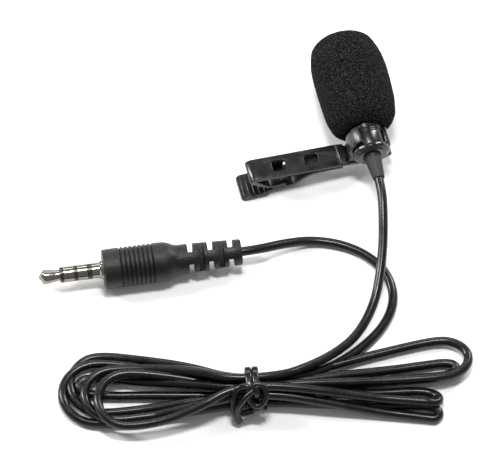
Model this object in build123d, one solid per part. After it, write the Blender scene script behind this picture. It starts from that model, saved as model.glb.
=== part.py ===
from build123d import *
import math
import os

# A clip-on lavalier microphone with its lead and headset plug, lying on a table, in millimetres.
# +Y runs along the microphone's axis towards the windscreen, the clip's jaws point to -X and +Z is up.
# The origin is on the table, under the middle of the microphone and its clip (without the lead).

# Microphone: distances along its axis are measured from the middle of the clip's holder, which lies
# here so that the origin is under the middle of the microphone and its clip
MIC_X = 10.536
MIC_Y = -8.25
MIC_Z = 9.694
BARREL_R = 3.6
BARREL_BORE_R = 3.2
BARREL_BACK = -2.7
BARREL_FRONT = 12.3
RUNNING_GAP = 0.05          # radial play of a part that slides or turns on another

# Foam windscreen
FOAM_START = 2.4
FOAM_LENGTH = 24.1
FOAM_R = 8.3
FOAM_FOOT_R = 4.5           # flat ring round the mouth of the foam
FOAM_BORE_DEPTH = 10.2

# Boot behind the barrel
BOOT_START = -4.35
BOOT_END = -10.0
BOOT_START_R = 1.9
BOOT_END_R = 1.28

# Lead
CORD_R = 1.05
CORD_BORE_R = 1.1
CORD_INSET = 3.0            # how far the lead reaches into the boot and into the plug

# Clip, in its own frame: a is the distance from the microphone's axis towards the jaws, n is up
CLIP_TILT = 5.1             # the clip is turned on the barrel, jaws up, by this many degrees
FACE_DROP = 4.31            # the arm's outer face lies this far below the microphone's axis
ARM_WIDTH = 5.3
ARM_THICK = 0.9
JAW_REACH = 26.95
HOLDER_R = 4.65
HOLDER_BACK = -2.4
HOLDER_FRONT = 1.5
MOUTH_ANGLES = (-28, 63)    # the holder's open mouth, in degrees from n towards +X
PIVOT_A = 5.75
PIVOT_N = -0.35
PIN_R = 0.4
KNUCKLE_R = 0.85
TOOTH_COUNT = 4
TOOTH_HEIGHT = 0.4
BITE_START = (21.4, -5.2)   # where the two rows of teeth meet, outer end
BITE_END = (18.2, -4.6)
BITE_GAP = 0.12
PAD_REACH = 28.5
PAD_WIDTH = 6.3

# Plug, measured along its axis from the tip
PLUG_R = 1.75
PLUG_TIP_X = -67.33
PLUG_TIP_Y = -20.83
PLUG_YAW = -6.1
PLUG_ROLL = 28
GRIP_R = 4.42
GRIP_START = 14.3
GRIP_END = 28.3
GROOVE_DEPTH = 0.3
GROOVE_WIDTH = 0.42
NECK_START = 30.9
NECK_R = 3.35
RELIEF_START = 33.1
RELIEF_END = 45.0
RELIEF_END_R = 2.85

# Hank: its middle, where the tie holds it, and the circles that its loops turn round
HANK_TURN = -10             # the hank's length runs this many degrees off X
TIE_X = -28.7
TIE_Y = -58.9
TIE_THICK = 0.6
TIE_WIDTH = 1.8
TIE_LOOP_R = 1.3
TIE_LOOPS = [(-1.5, 6.4), (1.5, 6.0)]    # centres of the two end loops: along the hank, and height
WAIST_WIDTH = 7.0
WAIST_HEIGHT = 8.0
WAIST_LENGTH = 16.0
LOBE_HEIGHT = 4.6
WAIST_R = 2.8
LOBES = [                   # centre x, centre y, radius
    (-58.0, -51.5, 11.9),
    (13.8, -61.0, 6.6),
    (7.2, -71.2, 4.6),
]

# The lead's two free stretches, as the corners of their routes
MIC_LEAD_ROUTE = [
    (10.54, -15.25, 9.7),
    (10.54, -20.8, 9.7),
    (9.25, -26.9, 8.5),
    (7.65, -32.9, 6.6),
    (5.4, -39.0, 4.9),
    (2.3, -45.3, 3.4),
    (-3.0, -51.4, 3.0),
    (-9.6, -54.9, 3.5),
    (-16.2, -57.0, 4.7),
]
PLUG_LEAD_ROUTE = [
    (-25.57, -25.29, 4.42),
    (-19.0, -25.99, 4.42),
    (-13.0, -25.0, 2.6),
    (-6.6, -24.9, 1.1),
    (-0.2, -27.6, 1.05),
    (5.0, -32.1, 1.05),
    (7.75, -37.8, 1.05),
    (7.5, -43.8, 1.05),
    (4.0, -49.2, 1.05),
    (-2.0, -53.3, 1.05),
    (-8.6, -56.1, 1.3),
]

MIC_PLACE = Pos(MIC_X, MIC_Y, MIC_Z)
CLIP_PLACE = MIC_PLACE * Rot(0, CLIP_TILT, 0)
PLUG_PLACE = Pos(PLUG_TIP_X, PLUG_TIP_Y, GRIP_R) * Rot(0, 0, PLUG_YAW) * Rot(PLUG_ROLL, 0, 0)


def turned_y(*profile):
    """A body turned round Y from (radius, y) corners."""
    return revolve(make_face(Polyline(*profile, close=True)), Axis.Y)


def turned_x(*profile):
    """A body turned round X from (x, radius) corners."""
    return revolve(make_face(Polyline(*profile, close=True)), Axis.X)


def tube_y(outer_r, inner_r, start, end):
    """A plain tube along Y."""
    return turned_y((inner_r, start), (outer_r, start), (outer_r, end), (inner_r, end))


def rod_y(radius, start, end, x=0, z=0):
    """A plain rod along Y."""
    return Pos(x, start, z) * Rot(-90, 0, 0) * Cylinder(radius, end - start, align=(Align.CENTER, Align.CENTER, Align.MIN))


def side_plate(points, y_low, y_high):
    """A plate across Y whose outline is a list of clip-frame (a, n) corners."""
    outline = Polyline(*[(-a, n - FACE_DROP) for a, n in points], close=True)
    return Pos(0, y_high, 0) * extrude(Plane.XZ * make_face(outline), amount=y_high - y_low)


# ---- microphone ----

def foam_windscreen():
    """A bulb of open-cell foam with a blind bore that grips the barrel."""
    end = FOAM_START + FOAM_LENGTH
    belly = (FOAM_R, FOAM_START + 0.55 * FOAM_LENGTH)
    bore_r = BARREL_R + RUNNING_GAP
    bore_end = FOAM_START + FOAM_BORE_DEPTH
    foot = Line((bore_r, FOAM_START), (FOAM_FOOT_R, FOAM_START))
    corner = [foot @ 1, (6.55, FOAM_START + 1.15), (7.7, FOAM_START + 3.6), belly]
    lower = Spline(*corner, tangents=((1, 0.1), (0, 1)))
    upper = Spline(belly, (7.45, end - 4.4), (4.7, end - 1.1), (0, end), tangents=((0, 1), (-1, 0)))
    inside = Polyline((0, end), (0, bore_end), (bore_r, bore_end), (bore_r, FOAM_START))
    return revolve(make_face([foot, lower, upper, inside]), Axis.Y)


def mic_housing():
    """The barrel: a thin tube with three fine rings turned into it."""
    body = tube_y(BARREL_R, BARREL_BORE_R, BARREL_BACK, BARREL_FRONT)
    for ring in range(3):
        y = 0.35 + 0.5 * ring
        body -= tube_y(BARREL_R + 1, BARREL_R - 0.12, y, y + 0.2)
    return chamfer(body.edges().filter_by(GeomType.CIRCLE).sort_by(Axis.Y)[-1], 0.15)


def rear_cap():
    """The flange that closes the barrel's tail, on a spigot inside the barrel."""
    spigot_r = BARREL_BORE_R - 0.03
    return turned_y(
        (CORD_R + 0.25, 0.4), (spigot_r, 0.4), (spigot_r, BARREL_BACK), (4.05, BARREL_BACK), (4.1, BARREL_BACK - 0.15),
        (4.1, BARREL_BACK - 0.85), (3.75, BARREL_BACK - 1.15), (3.45, BARREL_BACK - 1.3), (3.3, BOOT_START),
        (CORD_R + 0.25, BOOT_START),
    )


def strain_relief_boot():
    """A cone of soft plastic, with a spigot in the rear cap, that the lead comes out of."""
    cord_start = BOOT_END + CORD_INSET
    return turned_y(
        (0.85, -1.0), (CORD_R + 0.22, -1.0), (CORD_R + 0.22, BOOT_START), (BOOT_START_R, BOOT_START),
        (BOOT_END_R + 0.04, BOOT_END + 0.25), (BOOT_END_R - 0.06, BOOT_END), (CORD_BORE_R, BOOT_END),
        (CORD_BORE_R, cord_start), (0.85, cord_start),
    )


def front_grille():
    """A thin cap with a ring of sound holes, in the barrel's mouth."""
    cap = rod_y(BARREL_BORE_R - 0.02, 11.75, 12.15)
    cap -= rod_y(0.45, 11, 13)
    for hole in range(6):
        turn = math.radians(60 * hole)
        cap -= rod_y(0.45, 11, 13, 1.9 * math.cos(turn), 1.9 * math.sin(turn))
    return cap


def capsule_parts():
    """The electret capsule's own pieces, from the front to the back."""
    can = turned_y((0, 11.2), (3.0, 11.2), (3.0, 6.2), (2.5, 6.2), (2.5, 6.4), (2.8, 6.4), (2.8, 11.0), (0, 11.0))
    for hole in range(3):
        turn = math.radians(120 * hole + 90)
        can -= rod_y(0.3, 10, 12, 1.2 * math.cos(turn), 1.2 * math.sin(turn))
    plate = rod_y(2.35, 10.0, 10.25)
    for hole in range(4):
        turn = math.radians(90 * hole + 45)
        plate -= rod_y(0.25, 9, 11, 1.3 * math.cos(turn), 1.3 * math.sin(turn))
    return {
        "acoustic_felt": rod_y(BARREL_BORE_R - 0.05, 11.3, 11.7),
        "capsule_can": can,
        "capsule_diaphragm": turned_y((0, 10.62), (2.75, 10.62), (2.75, 10.95), (2.3, 10.95), (2.3, 10.68), (0, 10.68)),
        "capsule_spacer": tube_y(2.75, 2.2, 10.3, 10.58),
        "capsule_backplate": plate,
        "capsule_insulator": turned_y((2.4, 7.1), (2.76, 7.1), (2.76, 10.26), (2.4, 10.26), (2.4, 9.9), (2.2, 9.9), (2.2, 7.1)),
        "capsule_circuit_board": rod_y(2.75, 6.45, 7.05),
        "capsule_gasket": tube_y(BARREL_BORE_R - 0.02, 3.02, 6.6, 10.8),
    }


def signal_wires():
    """The lead's two cores, from the circuit board to the boot."""
    return [rod_y(0.3, BOOT_END + CORD_INSET + 0.05, 6.4, x) for x in (-0.4, 0.4)]


# ---- clip ----

def tooth_line(lift):
    """The zigzag of the bite, moved along n by lift, as (a, n) corners from the outer end."""
    steps = 2 * TOOTH_COUNT
    points = []
    for step in range(steps + 1):
        part = step / steps
        a = BITE_START[0] + part * (BITE_END[0] - BITE_START[0])
        n = BITE_START[1] + part * (BITE_END[1] - BITE_START[1])
        points.append((a, n + lift + TOOTH_HEIGHT * (step % 2)))
    return points


def pin_hole(radius, y_low, y_high):
    """A rod on the pivot's axis."""
    return rod_y(radius, y_low, y_high, -PIVOT_A, PIVOT_N - FACE_DROP)


def holder():
    """The split ring that snaps round the barrel, with a foot that joins it to the arm."""
    low, high = HOLDER_BACK, HOLDER_FRONT
    ring = rod_y(HOLDER_R, low, high)
    foot = side_plate([(-2.2, -ARM_THICK), (4.75, -ARM_THICK), (4.75, 0), (4.4, 1.5), (4.1, 2.6), (0, 2.6)], low, high)
    lip_low, lip_high = (math.radians(90 - MOUTH_ANGLES[0] + turn) for turn in (1, 24))
    lip = Polyline(
        (HOLDER_R * math.cos(lip_low), HOLDER_R * math.sin(lip_low)),
        ((HOLDER_R + 0.45) * math.cos(lip_low), (HOLDER_R + 0.45) * math.sin(lip_low)),
        ((HOLDER_R + 0.35) * math.cos(lip_high), (HOLDER_R + 0.35) * math.sin(lip_high)),
        (0, 0), close=True,
    )
    ring += foot + Pos(0, high, 0) * extrude(Plane.XZ * make_face(lip), amount=high - low)
    ring -= rod_y(BARREL_R + RUNNING_GAP, low - 1, high + 1)
    reach = 3 * HOLDER_R
    fan = [(0, 0)]
    for angle in (MOUTH_ANGLES[0], sum(MOUTH_ANGLES) / 2, MOUTH_ANGLES[1]):
        fan.append((reach * math.sin(math.radians(angle)), reach * math.cos(math.radians(angle))))
    mouth = extrude(Plane.XZ * make_face(Polyline(*fan, close=True)), amount=10, both=True)
    return ring - mouth


def clip_front_jaw():
    """The outer arm with its two windows, folded toothed tip, hinge rib and barrel holder."""
    half = ARM_WIDTH / 2
    reach = JAW_REACH
    outline = [(-1.5, -ARM_THICK), (-1.5, 0), (reach - 1.4, 0), (reach - 0.6, -0.2), (reach - 0.1, -0.7), (reach, -1.2)]
    outline += [(23.1, -4.4)]
    outline += tooth_line(0)
    outline += [(17.9, -4.35), (18.0, -3.75), (21.6, -4.25), (22.7, -3.75), (reach - 1.15, -ARM_THICK)]
    arm = side_plate(outline, -half, half)
    for a in (12.4, 19.8):
        window = RectangleRounded(3.1, 2.7, 0.7)
        arm -= Pos(-a, 0, -FACE_DROP - 1.5) * extrude(window, amount=3)
    arm += side_plate([(18.0, -0.5), (23.2, -0.5), (22.0, -4.4), (18.0, -4.3)], half - 0.7, half)
    rib = [(PIVOT_A - 1.2, -0.5), (PIVOT_A - 0.8, 0.85), (PIVOT_A + 0.65, 0.85), (PIVOT_A + 0.95, 0.5), (PIVOT_A + 1.2, -0.5)]
    arm += side_plate(rib, -2.5, 2.1)
    trim = Polyline((-6.9, half + 0.1), (-4.7, HOLDER_FRONT), (3, HOLDER_FRONT), (3, half + 0.1), close=True)
    arm -= Pos(0, 0, -FACE_DROP - 2) * extrude(make_face(trim), amount=5)
    arm += holder()
    pocket = side_plate([(PIVOT_A - 0.95, -1.5), (PIVOT_A - 0.95, PIVOT_N), (PIVOT_A + 0.95, PIVOT_N), (PIVOT_A + 0.95, -1.5)], -1, 1)
    arm -= pocket + pin_hole(KNUCKLE_R + 0.1, -1, 1) + pin_hole(PIN_R, -2.4, 2.0)
    return arm


def clip_rear_jaw():
    """The inner arm: ridged pad, teeth, bulge, hinge knuckle and finger tab."""
    half = ARM_WIDTH / 2
    ridges = []
    for ridge in range(5):
        a = 27.5 - 1.15 * ridge
        n = -6.95 + 0.2 * (28.3 - a)
        ridges += [(a + 0.3, n - 0.06), (a + 0.18, n + 0.26), (a - 0.18, n + 0.33), (a - 0.3, n + 0.06)]
    top = [(PAD_REACH - 0.1, -7.05)] + ridges + tooth_line(-BITE_GAP)
    top += [(17.4, -4.75), (16.4, -4.3), (15.3, -3.3), (14.2, -2.15), (12.9, -1.5), (11, -1.2), (PIVOT_A, -1.1)]
    under = [(PIVOT_A, -1.9), (8.6, -1.95), (11.4, -2.2), (13.4, -2.9), (14.9, -4.2), (16.3, -5.3), (18.2, -5.85)]
    under += [(21.6, -6.6), (PAD_REACH - 0.4, -7.93), (PAD_REACH, -7.6)]
    jaw = side_plate(top + under, -half, half)
    pad = side_plate([p for p in top if p[0] > 22.2] + under[-3:], -PAD_WIDTH / 2, PAD_WIDTH / 2)
    corners = pad.edges().filter_by(Axis.Z, tolerance=25).sort_by(Axis.X)[:2]
    jaw += fillet(corners, 0.35) if len(corners) == 2 else pad
    tail = [(PIVOT_A + 1.5, -1.12), (4.6, -1.2), (0, -2.05), (-1.9, -2.3), (-3.0, -1.55), (-4.8, -0.3), (-5.3, -0.3)]
    tail += [(-5.6, -0.7), (-5.3, -1.25), (-3.8, -2.25), (-2.2, -3.0), (0, -2.85), (4.6, -1.95), (PIVOT_A + 1.5, -1.9)]
    jaw += side_plate(tail, -1.9, 1.9)
    jaw += pin_hole(KNUCKLE_R, -0.9, 0.9)
    jaw += side_plate([(PIVOT_A - 0.6, -1.5), (PIVOT_A - 0.6, PIVOT_N), (PIVOT_A + 0.6, PIVOT_N), (PIVOT_A + 0.6, -1.5)], -0.9, 0.9)
    return jaw - pin_hole(PIN_R + RUNNING_GAP, -1, 1)


def clip_spring():
    """A folded steel leaf between the arms' tails, which keeps the jaws shut."""
    leaf = [(-1.2, -0.93), (4.1, -0.93), (4.25, -1.0), (4.1, -1.08), (-1.2, -2.1), (-1.2, -1.96), (3.3, -1.08), (-1.2, -1.08)]
    return side_plate(leaf, -1.2, 1.2)


def clip_pivot_pin():
    """The steel pin that both jaws hang on."""
    return pin_hole(PIN_R, -2.4, 2.0)


# ---- plug ----

def plug_contacts():
    """Four nested contacts and the insulators between them: each is a head on a thin tube."""
    tip = turned_x(
        (0, 0), (0.1, 0.35), (1.05, 1.6), (1.4, 1.7), (2.6, 1.5), (3.6, 1.2), (4.2, 1.1), (4.8, 1.1), (4.8, 0.4),
        (22, 0.4), (22, 0),
    )
    parts = {"plug_tip": tip}
    heads = [
        ("plug_insulator_front", 4.8, 5.5), ("plug_ring_front", 5.5, 7.95), ("plug_insulator_middle", 7.95, 8.65),
        ("plug_ring_rear", 8.65, 10.9), ("plug_insulator_rear", 10.9, 11.8),
    ]
    inner_r = 0.42
    tail = 21.5
    for name, start, end in heads:
        outer_r = inner_r + 0.18
        parts[name] = turned_x((start, inner_r), (start, PLUG_R), (end, PLUG_R), (end, outer_r), (tail, outer_r), (tail, inner_r))
        inner_r = outer_r + 0.02
        tail -= 0.5
    parts["plug_sleeve"] = turned_x(
        (11.8, inner_r), (11.8, PLUG_R), (13.6, PLUG_R), (13.75, 2.1), (GRIP_START, 2.1), (GRIP_START + 0.6, 2.1),
        (GRIP_START + 0.6, 2.6), (18.2, 2.6), (18.2, inner_r),
    )
    return parts


def plug_inner_mould():
    """The hard plastic cast round the contacts' tails."""
    return turned_x((18.25, 1.5), (18.25, 3.2), (26, 3.2), (26, 1.2), (22.2, 1.2), (22.2, 1.5))


def plug_overmould():
    """The soft grip: a ribbed barrel, a shoulder and a relief cut into flexing segments."""
    front = GRIP_START
    outer = Polyline((front, 2.14), (front, GRIP_R - 0.9))
    nose = ThreePointArc((front, GRIP_R - 0.9), (front + 0.27, GRIP_R - 0.26), (front + 0.9, GRIP_R))
    barrel = Line((front + 0.9, GRIP_R), (GRIP_END, GRIP_R))
    shoulder = Spline((GRIP_END, GRIP_R), (NECK_START, NECK_R), tangents=((1, 0), (1, 0)))
    relief = Polyline(
        (NECK_START, NECK_R), (RELIEF_START, NECK_R), (RELIEF_END - 0.3, RELIEF_END_R),
        (RELIEF_END, RELIEF_END_R - 0.3), (RELIEF_END, CORD_BORE_R), (26, CORD_BORE_R), (26, 3.22),
        (front + 0.6, 3.22), (front + 0.6, 2.14), (front, 2.14),
    )
    body = revolve(make_face([outer, nose, barrel, shoulder, relief]), Axis.X)
    for groove in range(8):
        x = front + 3.8 + groove
        depth = GRIP_R - GROOVE_DEPTH
        body -= turned_x((x, depth), (x, GRIP_R + 1), (x + GROOVE_WIDTH, GRIP_R + 1), (x + GROOVE_WIDTH, depth))
    web = 1.3
    for slot in range(5):
        x = RELIEF_START + 0.7 + 2.2 * slot
        for side in (-1, 1):
            block = Box(1.25, 8, 4, align=(Align.CENTER, Align.CENTER, Align.MIN))
            turn = Rot(90 * side, 0, 0) if slot % 2 == 0 else Rot(90 - 90 * side, 0, 0)
            body -= Pos(x, 0, 0) * turn * Pos(0, 0, web) * block
    return body


# ---- lead ----

def routed_tube(name, route):
    """A tube along straight runs joined by the largest tangent arcs that the runs allow."""
    points = [Vector(*point) for point in route]
    radii = []
    for before, corner, after in zip(points, points[1:], points[2:]):
        into, out = corner - before, after - corner
        half_turn = math.radians(into.get_angle(out)) / 2
        radii.append(0.45 * min(into.length, out.length) / math.tan(half_turn))
    path = FilletPolyline(*points, radius=radii)
    section = Plane(origin=points[0], z_dir=points[1] - points[0]) * Circle(CORD_R)
    tube = sweep(section, path=path)
    ratio = tube.volume / (math.pi * CORD_R ** 2 * path.length)
    print(name, "radii", [round(r, 1) for r in radii], "length", round(path.length, 1), "volume ratio", round(ratio, 4))
    return tube


def lobe(x, y, radius):
    """A flat teardrop from the tie to the circle that a group of loops turns round."""
    outline = make_hull([*(Pos(TIE_X, TIE_Y) * Circle(WAIST_R)).edges(), *(Pos(x, y) * Circle(radius)).edges()])
    return extrude(outline, amount=LOBE_HEIGHT)


def waist_bar(grow, length):
    """The bundle under the tie, as a rounded bar, grown by the given amount all round."""
    bar = RectangleRounded(WAIST_WIDTH + 2 * grow, WAIST_HEIGHT + 2 * grow, 2.6)
    middle = WAIST_HEIGHT / 2 + TIE_THICK
    return Pos(TIE_X, TIE_Y, middle) * Rot(0, 0, HANK_TURN) * Rot(0, 90, 0) * Rot(0, 0, 90) * extrude(bar, amount=length / 2, both=True)


def cord_hank():
    """The folded lead as one solid: three flat lobes of loops and the raised bundle at the tie."""
    hank = waist_bar(0, WAIST_LENGTH)
    for x, y, radius in LOBES:
        hank += lobe(x, y, radius)
    return hank - tie_band()


def tie_band():
    """The tie's ring round the bundle."""
    return waist_bar(TIE_THICK, TIE_WIDTH) - waist_bar(0, TIE_WIDTH + 1)


def cord_tie():
    """A flat twist tie: a ring round the bundle, with its twisted ends looped in front."""
    tie = tie_band()
    front = WAIST_WIDTH / 2 + TIE_THICK
    for x, z in TIE_LOOPS:
        loop = Rot(90, 0, 0) * Torus(TIE_LOOP_R, TIE_THICK)
        tie += Pos(TIE_X, TIE_Y, 0) * Rot(0, 0, HANK_TURN) * Pos(x, -front - TIE_THICK / 2, z) * loop
    return tie


def main():
    os.makedirs("parts", exist_ok=True)
    mic_parts = {
        "foam_windscreen": foam_windscreen(),
        "mic_housing": mic_housing(),
        "rear_cap": rear_cap(),
        "strain_relief_boot": strain_relief_boot(),
        "front_grille": front_grille(),
        "signal_wires": Compound(signal_wires()),
    }
    mic_parts.update(capsule_parts())
    clip_parts = {
        "clip_front_jaw": clip_front_jaw(),
        "clip_rear_jaw": clip_rear_jaw(),
        "clip_spring": clip_spring(),
        "clip_pivot_pin": clip_pivot_pin(),
    }
    plug_parts = plug_contacts()
    plug_parts["plug_inner_mould"] = plug_inner_mould()
    plug_parts["plug_overmould"] = plug_overmould()
    lead_parts = {
        "mic_lead": routed_tube("mic_lead", MIC_LEAD_ROUTE),
        "plug_lead": routed_tube("plug_lead", PLUG_LEAD_ROUTE),
        "cord_hank": cord_hank(),
        "cord_tie": cord_tie(),
    }
    groups = [(MIC_PLACE, mic_parts), (CLIP_PLACE, clip_parts), (PLUG_PLACE, plug_parts), (Pos(0, 0, 0), lead_parts)]
    for place, parts in groups:
        for name, shape in parts.items():
            export_step(place * shape, f"parts/{name}.step")


main()
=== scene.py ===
import math

import bmesh
import bpy
from mathutils import Matrix, Vector, noise


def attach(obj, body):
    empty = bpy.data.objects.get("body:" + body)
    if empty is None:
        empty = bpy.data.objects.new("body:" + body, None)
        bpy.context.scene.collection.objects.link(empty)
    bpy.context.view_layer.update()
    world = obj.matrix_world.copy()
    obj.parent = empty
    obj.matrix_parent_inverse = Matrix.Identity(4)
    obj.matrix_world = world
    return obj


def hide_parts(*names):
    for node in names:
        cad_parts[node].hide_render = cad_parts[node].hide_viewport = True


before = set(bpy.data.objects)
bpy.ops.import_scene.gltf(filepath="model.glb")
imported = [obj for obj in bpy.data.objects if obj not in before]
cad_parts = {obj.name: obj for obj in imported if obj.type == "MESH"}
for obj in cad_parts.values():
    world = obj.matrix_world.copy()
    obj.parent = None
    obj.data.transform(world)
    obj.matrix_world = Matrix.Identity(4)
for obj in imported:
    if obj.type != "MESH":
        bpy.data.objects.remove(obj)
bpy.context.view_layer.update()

MM = 0.001                  # the frame is in metres, and sizes here are written in millimetres

# The microphone's axis runs along +Y through the middle of the clip's holder
HOLDER = Vector((10.536, -8.25, 9.694))
BARREL_R = 3.6
CLIP_TILT = math.radians(5.1)
FACE_DROP = 4.31            # the clip's outer face lies this far below the microphone's axis
FOAM_START = 2.4
FOAM_END = 26.5

PLUG_TIP = Vector((-67.33, -20.83, 4.42))
PLUG_YAW = math.radians(-6.1)
PLUG_ROLL = math.radians(28)

CORD_D = 2.1
TIE = Vector((-28.7, -58.9, 0))
HANK_TURN = math.radians(-10)

MIC_PLACE = Matrix.Translation(HOLDER)
CLIP_PLACE = MIC_PLACE @ Matrix.Rotation(CLIP_TILT, 4, "Y")
PLUG_TURN = Matrix.Rotation(PLUG_YAW, 4, "Z") @ Matrix.Rotation(PLUG_ROLL, 4, "X")
PLUG_PLACE = Matrix.Translation(PLUG_TIP) @ PLUG_TURN
TIE_PLACE = Matrix.Translation(TIE) @ Matrix.Rotation(HANK_TURN, 4, "Z")


# ---------------------------------------------------------------- camera and lights

VIEW_AZIMUTH = math.radians(-14.4)
VIEW_ELEVATION = math.radians(62)
VIEW_TARGET = Vector((-19.45, -21.05, 2.0))
VIEW_DISTANCE = 3000
VIEW_WIDTH = 109.9          # millimetres across the picture at the target
FLOOR_REACH = 3             # metres from the middle of the floor to its edges


def look_from(azimuth, elevation):
    """Unit vector from the target towards a viewer; azimuth 0 looks along +Y."""
    flat = Vector((math.sin(azimuth), -math.cos(azimuth), 0))
    return flat * math.cos(elevation) + Vector((0, 0, math.sin(elevation)))


def aim(obj, place, target):
    """Put a camera or lamp at a place, in millimetres, pointing at a target."""
    obj.location = place * MM
    obj.rotation_euler = (target - place).to_track_quat("-Z", "Y").to_euler()
    bpy.context.scene.collection.objects.link(obj)


def make_camera():
    data = bpy.data.cameras.new("camera")
    data.sensor_width = 36
    data.lens = data.sensor_width * VIEW_DISTANCE / VIEW_WIDTH
    data.clip_start = 0.01
    camera = bpy.data.objects.new("camera", data)
    aim(camera, VIEW_TARGET + look_from(VIEW_AZIMUTH, VIEW_ELEVATION) * VIEW_DISTANCE, VIEW_TARGET)
    bpy.context.scene.camera = camera


def softbox(name, place, size, watts):
    data = bpy.data.lights.new(name, "AREA")
    data.shape = "RECTANGLE"
    data.size = size[0] * MM
    data.size_y = size[1] * MM
    data.energy = watts
    aim(bpy.data.objects.new(name, data), Vector(place), VIEW_TARGET)


def make_studio():
    world = bpy.data.worlds.new("studio")
    world.use_nodes = True
    background = world.node_tree.nodes["Background"]
    background.inputs["Color"].default_value = (1, 1, 1, 1)
    background.inputs["Strength"].default_value = 0.34
    scene = bpy.context.scene
    scene.world = world
    scene.view_settings.view_transform = "Standard"
    softbox("softbox_left", (-380, 200, 280), (60, 300), 2.0)
    softbox("softbox_right", (400, 230, 300), (60, 300), 1.8)
    softbox("softbox_top", (0, 10, 560), (150, 50), 2.2)
    softbox("softbox_back", (20, 430, 300), (420, 70), 0.8)
    floor = bpy.data.meshes.new("floor")
    corners = [(-FLOOR_REACH, -FLOOR_REACH, 0), (FLOOR_REACH, -FLOOR_REACH, 0)]
    corners += [(FLOOR_REACH, FLOOR_REACH, 0), (-FLOOR_REACH, FLOOR_REACH, 0)]
    floor.from_pydata(corners, [], [(0, 1, 2, 3)])
    floor_object = bpy.data.objects.new("floor", floor)
    scene.collection.objects.link(floor_object)
    pale = bpy.data.materials.new("pale_floor")
    pale.use_nodes = True
    shader = pale.node_tree.nodes["Principled BSDF"]
    shader.inputs["Base Color"].default_value = (0.93, 0.93, 0.93, 1)
    shader.inputs["Roughness"].default_value = 0.7
    floor.materials.append(pale)


# ---------------------------------------------------------------- materials

def surface(name, color, roughness, metallic=0.0, specular=0.5):
    """A principled material with its even values set; returns the material, its nodes and the shader."""
    material = bpy.data.materials.new(name)
    material.use_nodes = True
    tree = material.node_tree
    shader = tree.nodes["Principled BSDF"]
    shader.inputs["Base Color"].default_value = (*color, 1)
    shader.inputs["Roughness"].default_value = roughness
    shader.inputs["Metallic"].default_value = metallic
    shader.inputs["Specular IOR Level"].default_value = specular
    return material, tree, shader


def texture_place(tree, stretch=(1, 1, 1)):
    """Object-space coordinates in millimetres, stretched per axis."""
    coordinates = tree.nodes.new("ShaderNodeTexCoord")
    mapping = tree.nodes.new("ShaderNodeMapping")
    mapping.inputs["Scale"].default_value = [value / MM for value in stretch]
    tree.links.new(coordinates.outputs["Object"], mapping.inputs["Vector"])
    return mapping.outputs["Vector"]


def noise_at(tree, place, scale, detail=3.0):
    node = tree.nodes.new("ShaderNodeTexNoise")
    node.inputs["Scale"].default_value = scale
    node.inputs["Detail"].default_value = detail
    tree.links.new(place, node.inputs["Vector"])
    return node.outputs["Fac"]


def ramp(tree, value, low, high, start=0.35, end=0.65):
    """Colours between low and high as value goes from start to end."""
    node = tree.nodes.new("ShaderNodeValToRGB")
    node.color_ramp.elements[0].position = start
    node.color_ramp.elements[1].position = end
    node.color_ramp.elements[0].color = (*low, 1)
    node.color_ramp.elements[1].color = (*high, 1)
    tree.links.new(value, node.inputs["Fac"])
    return node.outputs["Color"]


def spread(tree, value, low, high):
    """A number between low and high as value goes from 0.3 to 0.7."""
    node = tree.nodes.new("ShaderNodeMapRange")
    node.inputs["From Min"].default_value = 0.3
    node.inputs["From Max"].default_value = 0.7
    node.inputs["To Min"].default_value = low
    node.inputs["To Max"].default_value = high
    tree.links.new(value, node.inputs["Value"])
    return node.outputs["Result"]


def bump(tree, shader, height, depth):
    """Raise the surface by height times depth, in millimetres."""
    node = tree.nodes.new("ShaderNodeBump")
    node.inputs["Distance"].default_value = depth * MM
    node.inputs["Strength"].default_value = 1.0
    tree.links.new(height, node.inputs["Height"])
    tree.links.new(node.outputs["Normal"], shader.inputs["Normal"])


def plastic(name, color, lighter, roughness, grain, depth, specular):
    """Moulded plastic: a fine grain, and slow changes of tone and polish."""
    material, tree, shader = surface(name, color, roughness[0], specular=specular)
    place = texture_place(tree)
    slow = noise_at(tree, place, 0.35, 4)
    tree.links.new(ramp(tree, slow, color, lighter), shader.inputs["Base Color"])
    fine = noise_at(tree, place, grain, 2)
    tree.links.new(spread(tree, slow, *roughness), shader.inputs["Roughness"])
    bump(tree, shader, fine, depth)
    return material


def metal(name, color, roughness, turned, depth):
    """Plated or drawn metal with fine lines across the turned axis."""
    material, tree, shader = surface(name, color, roughness[0], metallic=1.0)
    lines = noise_at(tree, texture_place(tree, turned), 1.0, 4)
    tarnish = noise_at(tree, texture_place(tree), 0.8, 3)
    darker = [value * 0.82 for value in color]
    tree.links.new(ramp(tree, tarnish, darker, color), shader.inputs["Base Color"])
    tree.links.new(spread(tree, lines, *roughness), shader.inputs["Roughness"])
    bump(tree, shader, lines, depth)
    return material


def foam_material():
    """Open-cell foam: dark cells between slightly lighter struts; the dark in the sunken cells is painted
    shade and the lighter struts a painted highlight.
    """
    material, tree, shader = surface("foam_black", (0.01, 0.01, 0.01), 1.0, specular=0.1)
    place = texture_place(tree)
    cells = tree.nodes.new("ShaderNodeTexVoronoi")
    cells.feature = "DISTANCE_TO_EDGE"
    cells.inputs["Scale"].default_value = 2.1
    tree.links.new(place, cells.inputs["Vector"])
    speckle = noise_at(tree, place, 3.2, 2)
    mix = tree.nodes.new("ShaderNodeMath")
    mix.operation = "MULTIPLY_ADD"
    mix.inputs[1].default_value = -1.1
    tree.links.new(cells.outputs["Distance"], mix.inputs[0])
    tree.links.new(speckle, mix.inputs[2])
    # The colour follows the bump's height: the sunken cells are darker as painted shade and the raised
    # struts lighter as a painted highlight, plus a random speckle of tone
    color = ramp(tree, mix.outputs[0], (0.0005, 0.0005, 0.0005), (0.06, 0.06, 0.062), 0.3, 0.85)
    tree.links.new(color, shader.inputs["Base Color"])
    bump(tree, shader, mix.outputs[0], 0.25)
    return material


def grey(value):
    return value, value, value


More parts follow.
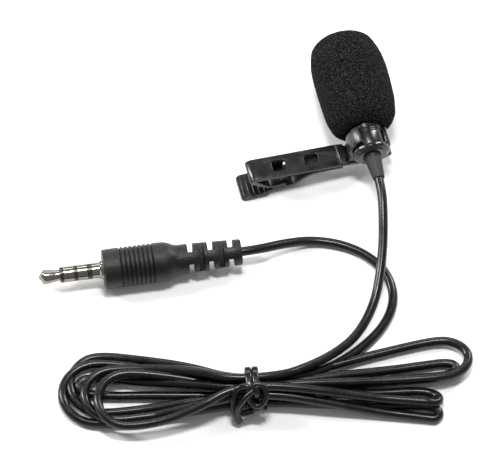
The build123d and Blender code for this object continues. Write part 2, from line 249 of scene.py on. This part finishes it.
PLASTICS = {                # name, colour, lighter colour, roughness range, grain, its depth, specular
    "clip": ("clip_black", grey(0.005), grey(0.008), (0.2, 0.32), 5, 0.006, 0.5),
    "barrel": ("barrel_black", grey(0.005), grey(0.009), (0.18, 0.28), 6, 0.006, 0.5),
    "boot": ("boot_black", grey(0.014), grey(0.02), (0.45, 0.55), 8, 0.015, 0.35),
    "grip": ("grip_black", grey(0.004), grey(0.008), (0.38, 0.5), 2.6, 0.11, 0.35),
    "cord": ("cord_black", grey(0.003), grey(0.006), (0.22, 0.32), 1.2, 0.006, 0.35),
    "tie": ("tie_black", grey(0.003), grey(0.006), (0.16, 0.26), 2.0, 0.02, 0.4),
    "insulator": ("insulator_black", grey(0.01), grey(0.02), (0.25, 0.35), 6, 0.005, 0.5),
    "white_plastic": ("capsule_white", (0.7, 0.7, 0.68), (0.8, 0.8, 0.78), (0.4, 0.5), 6, 0.005, 0.5),
    "film": ("capsule_film", (0.6, 0.5, 0.3), (0.68, 0.58, 0.36), (0.25, 0.35), 6, 0.002, 0.5),
    "board": ("board_green", (0.02, 0.14, 0.05), (0.03, 0.2, 0.07), (0.3, 0.4), 6, 0.005, 0.5),
    "rubber": ("gasket_black", grey(0.015), grey(0.03), (0.6, 0.75), 6, 0.01, 0.5),
    "felt": ("felt_grey", grey(0.03), grey(0.08), (0.9, 1.0), 4, 0.08, 0.5),
    "wire": ("wire_red", (0.35, 0.03, 0.02), (0.45, 0.05, 0.03), (0.4, 0.5), 6, 0.005, 0.5),
}
METALS = {                  # name, colour, roughness range, scale of the lines on x, y and z, their depth
    "nickel": ("plug_nickel", (0.3, 0.275, 0.245), (0.12, 0.24), (14, 0.6, 0.6), 0.004),
    "steel": ("spring_steel", grey(0.62), (0.25, 0.4), (2, 9, 2), 0.01),
    "aluminium": ("can_aluminium", grey(0.8), (0.3, 0.45), (2, 9, 2), 0.01),
    "brass": ("plate_brass", (0.72, 0.55, 0.24), (0.25, 0.4), (2, 9, 2), 0.01),
}


def make_materials():
    paint = {"foam": foam_material()}
    paint.update((key, plastic(*values)) for key, values in PLASTICS.items())
    paint.update((key, metal(*values)) for key, values in METALS.items())
    return paint


# ---------------------------------------------------------------- mesh tools

SHARP_EDGE = math.radians(40)   # edges over this angle stay crisp in smooth shading


def add_object(name, data):
    piece = bpy.data.objects.new(name, data)
    bpy.context.scene.collection.objects.link(piece)
    return piece


def settle(piece):
    """Apply the piece's modifiers and shade it smooth between its sharp edges."""
    evaluated = piece.evaluated_get(bpy.context.evaluated_depsgraph_get())
    mesh = bpy.data.meshes.new_from_object(evaluated)
    piece.modifiers.clear()
    piece.data = mesh
    mesh.shade_smooth()
    mesh.set_sharp_from_angle(angle=SHARP_EDGE)
    return piece


def into_frame(piece, place):
    """Move a mesh that was drawn in millimetres into its place in the frame, in metres."""
    piece.data.transform(Matrix.Scale(MM, 4) @ place)
    return piece


def soften(piece, width, segments=2, angle=28):
    """Round the edges by the given width in millimetres."""
    modifier = piece.modifiers.new("soften", "BEVEL")
    modifier.width = width
    modifier.segments = segments
    modifier.limit_method = "ANGLE"
    modifier.angle_limit = math.radians(angle)
    modifier.use_clamp_overlap = True


def cut(piece, cutter):
    """Cut one closed mesh out of another, and discard the cutter."""
    modifier = piece.modifiers.new("cut", "BOOLEAN")
    modifier.operation = "DIFFERENCE"
    modifier.solver = "EXACT"
    modifier.object = cutter
    settle(piece)
    bpy.data.objects.remove(cutter)


def joined(name, pieces):
    """One object from several, each with its edges already rounded."""
    whole = bpy.data.meshes.new(name)
    work = bmesh.new()
    for piece in pieces:
        work.from_mesh(piece.data)
        bpy.data.objects.remove(piece)
    work.to_mesh(whole)
    work.free()
    return add_object(name, whole)


def rounded(piece, width, segments=2):
    soften(piece, width, segments)
    return settle(piece)


def rounded_corners(half_x, half_y, radius, steps=4):
    """The corners of a rounded rectangle about the origin."""
    points = []
    for quarter in range(4):
        middle_x = (half_x - radius) * (1 if quarter in (0, 3) else -1)
        middle_y = (half_y - radius) * (1 if quarter in (0, 1) else -1)
        for step in range(steps + 1):
            turn = math.pi / 2 * (quarter + step / steps)
            points.append((middle_x + radius * math.cos(turn), middle_y + radius * math.sin(turn)))
    return points


def smooth_line(points, steps=8):
    """A smooth curve with the given control points, from the first to the last."""
    points = [Vector(point) for point in points]
    line = [points[0]]
    for index in range(1, len(points) - 1):
        start = points[0] if index == 1 else (points[index - 1] + points[index]) / 2
        end = points[-1] if index == len(points) - 2 else (points[index] + points[index + 1]) / 2
        for step in range(1, steps + 1):
            t = step / steps
            line.append(start * (1 - t) ** 2 + points[index] * 2 * t * (1 - t) + end * t ** 2)
    return line


def smooth_outline(points, steps):
    """The corners of a smooth outline with the given control points, all in one plane."""
    return [(point.x, point.y) for point in smooth_line([(*point, 0) for point in points], steps)]


def lathe(name, profile, axis="Y", segments=64):
    """A body turned round an axis from (along, radius) points; a closed outline makes a ring."""
    verts, faces = [], []
    rows = []
    for along, radius in profile:
        row = []
        count = 1 if radius < 1e-6 else segments
        for k in range(count):
            turn = 2 * math.pi * k / segments
            a, b = radius * math.cos(turn), radius * math.sin(turn)
            row.append(len(verts))
            verts.append((a, along, b) if axis == "Y" else (along, a, b))
        rows.append(row)
    closed = profile[0][1] > 1e-6 and profile[-1][1] > 1e-6
    pairs = list(zip(rows, rows[1:])) + ([(rows[-1], rows[0])] if closed else [])
    for low, high in pairs:
        for k in range(segments):
            after = (k + 1) % segments
            ring = [low[k % len(low)], low[after % len(low)], high[after % len(high)], high[k % len(high)]]
            ring = list(dict.fromkeys(ring))
            if len(ring) > 2:
                faces.append(ring)
    mesh = bpy.data.meshes.new(name)
    mesh.from_pydata(verts, [], faces)
    tidy_normals(mesh)
    return add_object(name, mesh)


def tidy_normals(mesh):
    """Turn all faces outwards."""
    work = bmesh.new()
    work.from_mesh(mesh)
    bmesh.ops.recalc_face_normals(work, faces=work.faces)
    work.to_mesh(mesh)
    work.free()


def extruded(name, lower, upper):
    """A closed plate between two matching outlines."""
    count = len(lower)
    faces = [list(range(count)), list(range(count, 2 * count))]
    faces += [[k, (k + 1) % count, (k + 1) % count + count, k + count] for k in range(count)]
    mesh = bpy.data.meshes.new(name)
    mesh.from_pydata(lower + upper, [], faces)
    tidy_normals(mesh)
    return add_object(name, mesh)


def plate(name, outline, low, high):
    """A plate across Y from clip-frame (a, n) corners: a runs to -X and n up from the outer face."""
    return extruded(name, *[[(-a, y, n - FACE_DROP) for a, n in outline] for y in (low, high)])


def prism(name, outline, low, high):
    """A plate across Z from (x, y) corners."""
    return extruded(name, *[[(x, y, z) for x, y in outline] for z in (low, high)])


def finish_piece(piece, paint, body, slot, *nodes):
    """Give a piece its material and its body, and hide the CAD nodes that it stands for."""
    piece.data.materials.clear()
    piece.data.materials.append(paint)
    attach(piece, body)
    if nodes:
        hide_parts(*nodes)
    return piece


# ---------------------------------------------------------------- lead

MIC_LEAD_ROUTE = [
    (10.54, -15.25, 9.7),
    (10.54, -20.8, 9.7),
    (9.25, -26.9, 8.5),
    (7.65, -32.9, 6.6),
    (5.4, -39.0, 4.9),
    (2.3, -45.3, 3.4),
    (-3.0, -51.4, 3.0),
    (-9.6, -54.9, 3.5),
    (-16.2, -57.0, 4.7),
]
INTO_HANK = [(-21.8, -58.5, 6.5)]
OUT_OF_HANK = [(-20.8, -58.2, 4.2), (-14.8, -57.6, 2.4)]
PLUG_LEAD_ROUTE = [
    (-25.57, -25.29, 4.42),
    (-19.0, -25.99, 4.42),
    (-13.0, -25.0, 2.6),
    (-6.6, -24.9, 1.1),
    (-0.2, -27.6, 1.05),
    (5.0, -32.1, 1.05),
    (7.75, -37.8, 1.05),
    (7.5, -43.8, 1.05),
    (4.0, -49.2, 1.05),
    (-2.0, -53.3, 1.05),
    (-8.6, -56.1, 1.3),
]

# Each fold of the hank: the side of the tie that it lies on (-1 is -X), the places across and up in the
# tie where it comes from and goes back to, the middle of its bend, the bend's two radii, its lean in
# degrees, which edge of the fold comes first (1 is the +Y edge), how far its two strands bow, and the
# heights at the start and end of its bend.
FOLDS = [
    (-1, (1.1, 7.2), (-2.2, 1.65), (-57.8, -52.3), (6.8, 6.0), -21, 1, (1.5, 0.2), (3.2, 2.6)),
    (1, (-2.2, 1.65), (-2.2, 5.35), (8.3, -72.9), (1.5, 1.3), -38, 1, (0.0, 0.0), (1.05, 1.05)),
    (-1, (-2.2, 5.35), (2.2, 1.65), (-61.4, -50.3), (7.6, 7.2), -20, -1, (0.5, 0.8), (1.05, 1.6)),
    (1, (2.2, 1.65), (0, 5.35), (12.8, -60.9), (6.6, 4.9), -12, 1, (0.5, 0.0), (1.3, 3.15)),
    (-1, (0, 5.35), (0, 1.65), (-62.6, -48.0), (2.3, 1.7), -20, 1, (0.5, 0.3), (1.3, 1.05)),
    (1, (0, 1.65), (1.1, 3.5), (14.7, -63.4), (1.5, 1.3), -14, -1, (0.0, 0.3), (1.05, 1.05)),
    (-1, (1.1, 3.5), (-1.1, 7.2), (-55.9, -54.8), (6.3, 6.3), -10, 1, (0.5, 1.7), (4.6, 4.3)),
    (1, (-1.1, 7.2), (-1.1, 3.5), (8.7, -69.7), (1.9, 1.5), -32, -1, (0.0, 0.3), (3.15, 1.05)),
    (-1, (-1.1, 3.5), (2.2, 5.35), (-59.6, -48.2), (7.2, 7.0), 0, -1, (0.0, 1.5), (1.05, 1.05)),
]
BEND_POINTS = 6             # control points round each fold's bend
LEAD_IN_STEPS = [(4.6, 0.16), (1.6, 0.5)]   # distance from a bend in its steps, share of its direction
TIE_REACH = 4.5             # the strands run straight this far each side of the tie


def strand(inner, outer, bow):
    """The two points between the tie and a fold's bend, bowed across and easing down."""
    points = []
    for part in (0.3, 0.66):
        place = inner.lerp(outer, part)
        ease = min(1, 1.15 * part)
        place.y += bow * 4 * part * (1 - part)
        place.z = inner.z + (outer.z - inner.z) * ease * ease * (3 - 2 * ease)
        points.append(place)
    return points


def lead_in(strand_end, bend_end, bend_next):
    """The level points that turn a long strand gently into a tight bend, from the strand to the bend."""
    step = (bend_next - bend_end).length
    away = strand_end - bend_end
    if away.length < LEAD_IN_STEPS[0][0] * step:
        return []
    along = away.normalized()
    tangent = (bend_end - bend_next) * Vector((1, 1, 0))
    tangent.normalize()
    return [bend_end + reach * step * along.lerp(tangent, share) for reach, share in LEAD_IN_STEPS]


def fold_points(side, start, end, eye, radii, lean, edge, bows, heights):
    """The control points of one fold, from the tie round its bend and back to the tie."""
    inner = [TIE_PLACE @ Vector((side * TIE_REACH, across, up)) for across, up in (start, end)]
    step = math.pi / (BEND_POINTS - 1)
    bend = []
    for index in range(BEND_POINTS):
        turn = (math.pi / 2 - index * step) * edge
        out = side * radii[0] * math.cos(turn) / math.cos(step / 2)
        across = radii[1] * math.sin(turn) / math.cos(step / 2)
        place = Vector((out, across, 0))
        place.rotate(Matrix.Rotation(math.radians(lean), 3, "Z"))
        height = heights[0] + (heights[1] - heights[0]) * index / (BEND_POINTS - 1)
        bend.append(place + Vector((*eye, height)))
    first = strand(inner[0], bend[0], edge * bows[0])
    last = strand(inner[1], bend[-1], -edge * bows[1])
    first += lead_in(first[-1], bend[0], bend[1])
    last += lead_in(last[-1], bend[-1], bend[-2])
    return [inner[0], *first, *bend, *reversed(last), inner[1]]


def cord_points():
    """The lead's control points from the microphone's boot, through the hank, to the plug."""
    points = [Vector(point) for point in MIC_LEAD_ROUTE + INTO_HANK]
    for fold in FOLDS:
        points += fold_points(*fold)
    return points + [Vector(point) for point in OUT_OF_HANK + PLUG_LEAD_ROUTE[::-1]]


def nurbs(name, points, cyclic=False):
    """A curve of one open NURBS spline of order 3 with the given control points, in millimetres."""
    curve = bpy.data.curves.new(name, "CURVE")
    curve.dimensions = "3D"
    spline = curve.splines.new("NURBS")
    spline.points.add(len(points) - 1)
    for target, point in zip(spline.points, points):
        target.co = (*(Vector(point) * MM), 1)
    spline.use_cyclic_u = cyclic
    spline.order_u = 3
    spline.use_endpoint_u = not cyclic
    return curve


def make_cord(paint):
    points = cord_points()
    curve = nurbs("cord", points)
    curve.resolution_u = 10
    curve.bevel_depth = CORD_D / 2 * MM
    curve.bevel_resolution = 4
    curve.use_fill_caps = True
    cord = add_object("cord", curve)
    finish_piece(cord, paint["cord"], "microphone", "cord_pvc", "mic_lead", "cord_hank", "plug_lead")


# ---------------------------------------------------------------- microphone

FOAM_CELL = 0.5             # size of the foam's cells
FOAM_PIT = 0.16             # depth of the open cells in its skin
PIT_R = 0.62                # radius of a pit, in cells
FOAM_LEAN = 0.36            # how far the windscreen's middle bulges to +X
BORE_R = BARREL_R + 0.05
BORE_END = FOAM_START + 10.2
FOAM_OUTLINE = [            # distance from the axis, and along it
    (4.0, FOAM_START), (5.34, FOAM_START - 0.1), (7.95, 4.96), (8.38, 15.16), (8.03, 20.9),
    (5.96, FOAM_END - 0.57), (0, FOAM_END),
]


def make_foam(paint):
    """The windscreen, with its skin broken up into open cells."""
    profile = [(along, radius) for radius, along in reversed(smooth_outline(FOAM_OUTLINE, 36))]
    profile[0] = (profile[0][0], 0)
    profile += [(FOAM_START, BORE_R), (BORE_END, BORE_R), (BORE_END, 0)]
    foam = lathe("windscreen_foam", profile, segments=360)
    mesh = foam.data
    normals = [vertex.normal.copy() for vertex in mesh.vertices]
    for vertex, normal in zip(mesh.vertices, normals):
        place = vertex.co.copy()
        if math.hypot(place.x, place.z) < BARREL_R + 0.4 and place.y < BORE_END + 0.8:
            continue
        near = noise.voronoi(place / FOAM_CELL)[0][0]
        pit = FOAM_PIT * max(0, PIT_R - near) / PIT_R
        part = min(1, max(0, (place.y - 1) / 27))
        lean = FOAM_LEAN * math.sin(math.pi * part)
        vertex.co = place + normal * (0.06 * noise.noise(place / 1.7) - pit) + Vector((lean, 0, 0))
    mesh.shade_smooth()
    into_frame(foam, MIC_PLACE)
    finish_piece(foam, paint["foam"], "windscreen", "open_cell_foam", "foam_windscreen")


BARREL_RING = [(0, 0), (0.05, 0.12), (0.15, 0.12), (0.2, 0)]    # a groove: distance along, and depth
CAP_OUTLINE = [
    (0.4, 1.3), (0.4, 3.17), (-2.7, 3.17), (-2.75, 4.02), (-2.9, 4.1), (-3.6, 4.1), (-3.9, 3.75),
    (-4.05, 3.45), (-4.35, 3.3), (-4.35, 1.3),
]
BOOT_OUTLINE = [
    (-1.0, 0.85), (-1.0, 1.27), (-4.3, 1.27), (-4.35, 2.05), (-4.75, 1.94), (-5.2, 1.86), (-9.7, 1.33),
    (-9.93, 1.28), (-10.0, 1.2), (-10.0, 1.1), (-7.0, 1.1), (-7.0, 0.85),
]


def turned(name, profile, segments, edge):
    """A part of the microphone turned round its axis, with rounded edges."""
    return into_frame(rounded(lathe(name, profile, segments=segments), edge), MIC_PLACE)


def make_barrel(paint):
    """The barrel with its three fine rings, the flanged rear cap and the boot."""
    profile = [(-2.7, 3.2), (-2.7, BARREL_R), (0.35, BARREL_R)]
    for ring in range(3):
        profile += [(0.35 + 0.5 * ring + along, BARREL_R - depth) for along, depth in BARREL_RING]
    profile += [(12.3, BARREL_R), (12.3, 3.2)]
    barrel = turned("barrel", profile, 96, 0.05)
    finish_piece(barrel, paint["barrel"], "microphone", "barrel_plastic", "mic_housing")
    cap = turned("rear_flange", CAP_OUTLINE, 96, 0.09)
    finish_piece(cap, paint["barrel"], "microphone", "barrel_plastic", "rear_cap")
    boot = turned("boot", BOOT_OUTLINE, 64, 0.06)
    finish_piece(boot, paint["boot"], "microphone", "soft_pvc", "strain_relief_boot")


# ---------------------------------------------------------------- clip

ARM_HALF = 2.65             # half the width of both arms
ARM_THICK = 0.9
PAD_HALF = 3.15
TOOTH_PITCH = 0.8
BITE_START = (21.4, -5.2)   # the outer end of the line where the two rows of teeth meet
BITE_SLOPE = -0.1875
PIVOT_A = 5.75
MOUTH_LEFT = math.radians(-28)
MOUTH_RIGHT = math.radians(63)
HOLDER_IN = BARREL_R + 0.05
HOLDER_OUT = 4.65
LIP_TURN = math.radians(24)     # how far round the holder its raised lip reaches

# The clip's outlines, as (a, n) corners or control points
ARM_REACH = 26.95           # from the microphone's axis to the front arm's tip
STRIP_OUTLINE = [
    (-1.4, -ARM_THICK), (-1.4, 0), (ARM_REACH - 1.9, 0), (ARM_REACH - 1.2, -0.06), (ARM_REACH - 0.6, -0.28),
    (ARM_REACH - 0.18, -0.66), (ARM_REACH, -1.15), (ARM_REACH - 0.12, -1.5), (23.3, -4.35), (22.6, -4.6),
    (21.8, -4.62), (18.2, -4.05), (18.0, -3.75), (21.6, -4.15), (22.6, -3.8), (ARM_REACH - 1.3, -ARM_THICK),
]
WINDOWS = (12.4, 19.8)      # the middles of the strip's two windows
GUSSET_OUTLINE = [(18.1, -0.6), (23.0, -0.6), (22.0, -4.3), (18.1, -4.1)]
RIB_OUTLINE = [
    (PIVOT_A - 1.15, -0.5), (PIVOT_A - 0.75, 0.83), (PIVOT_A + 0.65, 0.83), (PIVOT_A + 0.93, 0.5),
    (PIVOT_A + 1.15, -0.5),
]
FOOT_OUTLINE = [
    (0.5, -ARM_THICK), (4.72, -ARM_THICK), (4.72, 0), (4.42, 1.5), (4.1, 2.55), (3.75, 2.2), (3.4, 0.9),
    (2.4, 0.45), (0.5, 0.35),
]
FOAM_CORNER = [(-6.1, 2.75), (-4.3, 1.9), (-4.3, 1.5), (3, 1.5), (3, 2.75)]     # x, y of the strip's cut

INNER_ARM_TOP = [
    (22.6, -5.85), (18.0, -4.95), (16.5, -4.5), (15.2, -3.1), (13.9, -1.75), (12, -1.2), (9, -1.12),
]
INNER_ARM_UNDER = [
    (8.6, -1.92), (11.6, -2.1), (13.6, -2.7), (15.0, -4.3), (16.4, -5.6), (18.6, -5.9), (22.6, -6.78),
]
TAIL_TOP = [
    (7.2, -1.15), (3, -1.45), (-1.0, -2.15), (-2.6, -2.1), (-4.2, -0.7), (-4.7, -0.32), (-5.2, -0.32),
]
TAIL_UNDER = [
    (-5.55, -0.5), (-5.55, -1.1), (-4.2, -2.0), (-2.4, -2.95), (0, -2.85), (4.6, -1.95), (7.2, -1.88),
]
KNUCKLE_OUTLINE = [(-0.9, 0.46), (-0.9, 0.84), (0.9, 0.84), (0.9, 0.46)]
PAD_LENGTH = 6.5
PAD_SLOPE = math.atan2(1.33, 6.5)
PAD_PLACE = Matrix.Translation((-25.2, 0, -6.92 - FACE_DROP)) @ Matrix.Rotation(-PAD_SLOPE, 4, "Y")
RIDGE_PITCH = 1.15


def teeth(low_side):
    """One jaw's row of teeth: four small wedges across the arm, pointing at the other jaw."""
    row = []
    for tooth in range(4):
        a = BITE_START[0] - TOOTH_PITCH * tooth
        n = BITE_START[1] - BITE_SLOPE * tooth * TOOTH_PITCH
        if low_side:
            wedge = [(0.05, -0.5), (0.05, -0.12), (-0.4, 0.33), (-0.75, 0.02), (-0.75, -0.4)]
        else:
            wedge = [(0, 0), (0.4, 0.36), (0.4, 0.9), (-0.4, 0.9), (-0.4, 0.44)]
        corners = [(a + along, n + up) for along, up in wedge]
        row.append(rounded(plate("tooth", corners, -ARM_HALF + 0.04, ARM_HALF - 0.04), 0.05))
    return row


def holder_ring():
    """The split ring that grips the barrel, with a raised lip on its left tip."""
    inner, outer = [], []
    steps = 40
    for step in range(steps + 1):
        turn = MOUTH_RIGHT + (2 * math.pi + MOUTH_LEFT - MOUTH_RIGHT) * step / steps
        from_left = 2 * math.pi + MOUTH_LEFT - turn
        radius = HOLDER_OUT + (0.42 if from_left < LIP_TURN else 0)
        inner.append((-HOLDER_IN * math.sin(turn), HOLDER_IN * math.cos(turn) + FACE_DROP))
        outer.append((-radius * math.sin(turn), radius * math.cos(turn) + FACE_DROP))
    return rounded(plate("holder", inner + outer[::-1], -2.4, 1.5), 0.16, 3)


def make_front_jaw(paint):
    """The outer arm: a strip with two windows, a folded toothed tip, a hinge rib and the holder."""
    strip = plate("strip", STRIP_OUTLINE, -ARM_HALF, ARM_HALF)
    for a in WINDOWS:
        window = [(-a + x, y) for x, y in rounded_corners(1.55, 1.35, 0.6)]
        cut(strip, prism("window", window, -FACE_DROP - 1.5, -FACE_DROP + 1))
    cut(strip, prism("foam_side", FOAM_CORNER, -FACE_DROP - 2, -FACE_DROP + 2))
    soften(strip, 0.14, 3)
    pieces = [settle(strip), holder_ring()]
    pieces.append(rounded(plate("gusset", GUSSET_OUTLINE, 1.95, 2.6), 0.06))
    pieces.append(rounded(plate("rib", RIB_OUTLINE, -2.5, 2.1), 0.16, 3))
    pieces.append(rounded(plate("foot", FOOT_OUTLINE, -2.35, 1.45), 0.12, 3))
    pieces += teeth(False)
    jaw = joined("front_jaw", pieces)
    return finish_piece(into_frame(jaw, CLIP_PLACE), paint["clip"], "clip", "clip_plastic", "clip_front_jaw")


def ridged_pad():
    """The pad under the rear jaw's tip, with five ridges across it."""
    pad = prism("pad", rounded_corners(PAD_LENGTH / 2, PAD_HALF, 0.9, 5), -0.42, 0.42)
    parts = [(pad, 0.2)]
    for ridge in range(5):
        along = -PAD_LENGTH / 2 + 0.95 + RIDGE_PITCH * ridge
        corners = [(along - 0.26, -2.75), (along + 0.26, -2.75), (along + 0.26, 2.75), (along - 0.26, 2.75)]
        parts.append((prism("ridge", corners, 0.3, 0.72), 0.16))
    for part, edge in parts:
        rounded(part, edge, 3)
        part.data.transform(PAD_PLACE)
    return [part for part, edge in parts]


def make_rear_jaw(paint):
    """The inner arm: the ridged pad, the toothed part, the bulge, the knuckle and the finger tab."""
    arm = smooth_outline(INNER_ARM_TOP, 5) + [(PIVOT_A, -1.1), (PIVOT_A, -1.9)]
    arm += smooth_outline(INNER_ARM_UNDER, 5)
    pieces = [rounded(plate("arm", arm, -ARM_HALF, ARM_HALF), 0.14, 3)]
    pieces += ridged_pad()
    pieces += teeth(True)
    tail = smooth_outline(TAIL_TOP, 5) + smooth_outline(TAIL_UNDER, 5)
    pieces.append(rounded(plate("tail", tail, -1.88, 1.88), 0.14, 3))
    knuckle = lathe("knuckle", KNUCKLE_OUTLINE, segments=40)
    knuckle.data.transform(Matrix.Translation((-PIVOT_A, 0, -0.35 - FACE_DROP)))
    neck = [(PIVOT_A + along, n) for along, n in ((-0.6, -1.5), (-0.6, -0.75), (0.6, -0.75), (0.6, -1.5))]
    pieces += [settle(knuckle), settle(plate("neck", neck, -0.88, 0.88))]
    jaw = joined("rear_jaw", pieces)
    return finish_piece(into_frame(jaw, CLIP_PLACE), paint["clip"], "jaw", "clip_plastic", "clip_rear_jaw")


# ---------------------------------------------------------------- plug and tie

GRIP_R = 4.42
GRIP_START = 14.3
RELIEF_START = 33.1
RELIEF_END = 45.0
GRIP_NOSE = [
    (GRIP_START, 2.16), (GRIP_START, GRIP_R - 0.1), (GRIP_START + 0.6, GRIP_R), (GRIP_START + 3.4, GRIP_R),
]
GRIP_GROOVE = ((0, 0), (0.05, 0.14), (0.12, 0.27), (0.21, 0.3), (0.3, 0.27), (0.37, 0.14), (0.42, 0))
GRIP_SHOULDER = [(26.5, GRIP_R), (28.6, GRIP_R), (30.4, 3.3), (32.2, 3.34), (RELIEF_START, 3.34)]
GRIP_REST = [               # the relief's taper and end, then back along the cord's hole and the hollow
    (39, 3.1), (RELIEF_END - 0.35, 2.86), (RELIEF_END - 0.08, 2.76), (RELIEF_END, 2.5), (RELIEF_END, 1.12),
    (26, 1.12), (26, 3.23), (GRIP_START + 0.6, 3.23), (GRIP_START + 0.6, 2.16),
]
NOTCH_PITCH = 2.2
NOTCH_FLOOR = 1.3           # the notches stop this far from the axis


def make_grip(paint):
    """The soft grip: a ribbed barrel, a shoulder, and a relief cut into flexing segments."""
    profile = smooth_outline(GRIP_NOSE, 6)
    for groove in range(8):
        start = GRIP_START + 3.8 + groove
        profile += [(start + along, GRIP_R - depth) for along, depth in GRIP_GROOVE]
    profile += smooth_outline(GRIP_SHOULDER, 7) + GRIP_REST
    grip = lathe("plug_grip", profile, axis="X", segments=128)
    for notch in range(5):
        middle = RELIEF_START + 0.7 + NOTCH_PITCH * notch
        for side in (-1, 1):
            cutter = prism("notch", rounded_corners(0.625, 4, 0.12, 2), NOTCH_FLOOR, 6)
            turn = math.radians(90 * side if notch % 2 == 0 else 90 - 90 * side)
            cutter.data.transform(Matrix.Translation((middle, 0, 0)) @ Matrix.Rotation(turn, 4, "X"))
            cut(grip, cutter)
    soften(grip, 0.07, 2, 40)
    grip.modifiers["soften"].use_clamp_overlap = False
    settle(grip)
    into_frame(grip, PLUG_PLACE)
    return finish_piece(grip, paint["grip"], "microphone", "soft_pvc", "plug_overmould")


CONTACTS = {                # each contact's visible outline, as distance along the plug and radius
    "plug_tip": (
        (0, 0), (0.02, 0.02), (0.12, 0.3), (1.02, 1.5), (1.2, 1.6), (1.45, 1.63), (2.6, 1.5), (3.6, 1.32),
        (4.3, 1.24), (4.75, 1.24), (4.75, 0),
    ),
    "plug_insulator_front": (
        (4.78, 1.1), (4.78, 1.68), (4.84, 1.74), (5.44, 1.74), (5.48, 1.68), (5.48, 1.1),
    ),
    "plug_ring_front": ((5.5, 1.1), (5.5, 1.66), (5.58, 1.74), (7.87, 1.74), (7.95, 1.66), (7.95, 1.1)),
    "plug_insulator_middle": (
        (7.97, 1.1), (7.97, 1.69), (8.02, 1.73), (8.58, 1.73), (8.63, 1.69), (8.63, 1.1),
    ),
    "plug_ring_rear": ((8.65, 1.1), (8.65, 1.66), (8.73, 1.74), (10.82, 1.74), (10.9, 1.66), (10.9, 1.1)),
    "plug_insulator_rear": (
        (10.92, 1.1), (10.92, 1.69), (10.97, 1.73), (11.73, 1.73), (11.78, 1.69), (11.78, 1.1),
    ),
    "plug_sleeve": (
        (11.8, 1.1), (11.8, 1.66), (11.88, 1.74), (13.5, 1.74), (13.62, 1.85), (13.75, 2.02), (13.85, 2.09),
        (14.6, 2.1), (14.6, 1.1),
    ),
}


def make_contacts(paint):
    """The turned contacts and the moulded rings between them."""
    pieces = []
    for node, outline in CONTACTS.items():
        piece = lathe(node + "_turned", outline, axis="X", segments=96)
        piece.data.shade_smooth()
        piece.data.set_sharp_from_angle(angle=math.radians(35))
        slot = "insulator" if "insulator" in node else "nickel"
        pieces.append(finish_piece(into_frame(piece, PLUG_PLACE), paint[slot], "microphone", slot, node))
    return pieces


# Control points in the tie's own frame: along the bundle, across it and up
TIE_WRAPS = {"tie_wrap_left": -0.75, "tie_wrap_right": 0.8}     # each wrap's place along the bundle
WRAP_POINTS = [
    (-3.4, 0.42), (0, 0.42), (3.4, 0.42), (3.95, 2.6), (3.8, 5.6), (3.3, 8.2), (1.4, 9.3), (-1.2, 9.3),
    (-3.2, 8.8), (-4.0, 6.0), (-3.9, 2.6),
]
TIE_ENDS = {                # control points, width, thickness, and whether the wire closes on itself
    "tie_loop": ([
        (0.2, -3.1, 8.0), (-0.6, -2.0, 8.9), (-1.9, -1.6, 8.9), (-3.5, -1.9, 8.2), (-4.1, -3.0, 7.0),
        (-4.3, -4.1, 5.4), (-4.2, -5.4, 3.6), (-3.6, -6.0, 2.0), (-3.2, -6.3, 1.2),
    ], 1.75, 1.4, False),
    "tie_cross": ([
        (0.2, -3.0, 8.8), (-1.0, -3.5, 8.2), (-2.5, -4.4, 6.8), (-3.6, -5.1, 5.2), (-3.3, -5.7, 4.0),
        (-1.8, -5.7, 3.6), (-0.2, -5.1, 3.6),
    ], 1.55, 1.25, False),
    "tie_ring": ([
        (-0.6, -2.1, 9.0), (1.1, -1.4, 9.3), (2.9, -2.3, 8.9), (2.6, -4.6, 7.2), (0.9, -5.5, 5.8),
        (-0.7, -4.5, 6.6), (-1.1, -3.3, 8.0),
    ], 1.5, 1.25, True),
    "tie_stub": ([(0.7, -4.1, 6.0), (1.6, -4.8, 4.8), (2.6, -5.1, 4.2)], 1.5, 1.25, False),
}


def ribbon(name, points, width, thick, cyclic=False, tilt=0):
    """A coated wire: a curve with a wide, round-edged section, turned about itself by the tilt."""
    curve = nurbs(name, [TIE_PLACE @ Vector(point) for point in points], cyclic)
    curve.extrude = (width - thick) / 2 * MM
    curve.bevel_depth = thick / 2 * MM
    curve.bevel_resolution = 3
    curve.resolution_u = 10
    curve.use_fill_caps = True
    curve.twist_mode = "MINIMUM"
    for point in curve.splines[0].points:
        point.tilt = math.radians(tilt)
    return add_object(name, curve)


def make_tie(paint):
    """A plastic-coated wire twice round the bundle, with its ends knotted in front."""
    pieces = []
    for name, along in TIE_WRAPS.items():
        points = [(along, across, up) for across, up in WRAP_POINTS]
        pieces.append(ribbon(name, points, 1.45, 0.8, True, 90))
    for name, wire in TIE_ENDS.items():
        pieces.append(ribbon(name, *wire))
    for piece in pieces:
        finish_piece(piece, paint["tie"], "microphone", "tie_plastic")
    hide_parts("cord_tie")
    return pieces


# ---------------------------------------------------------------- run

make_camera()
make_studio()
paint = make_materials()
make_foam(paint)
make_barrel(paint)
make_front_jaw(paint)
make_rear_jaw(paint)

NODE_PAINT = {
    "front_grille": "steel",
    "acoustic_felt": "felt",
    "capsule_can": "aluminium",
    "capsule_diaphragm": "film",
    "capsule_spacer": "film",
    "capsule_backplate": "brass",
    "capsule_insulator": "white_plastic",
    "capsule_circuit_board": "board",
    "capsule_gasket": "rubber",
    "signal_wires": "wire",
    "clip_pivot_pin": "steel",
    "clip_spring": "steel",
    "plug_inner_mould": "insulator",
}
for node, name in NODE_PAINT.items():
    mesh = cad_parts[node].data
    mesh.materials.clear()
    mesh.materials.append(paint[name])

plug_pieces = [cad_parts["plug_inner_mould"], make_grip(paint)]
plug_pieces += make_contacts(paint)
plug_pieces += make_tie(paint)
make_cord(paint)
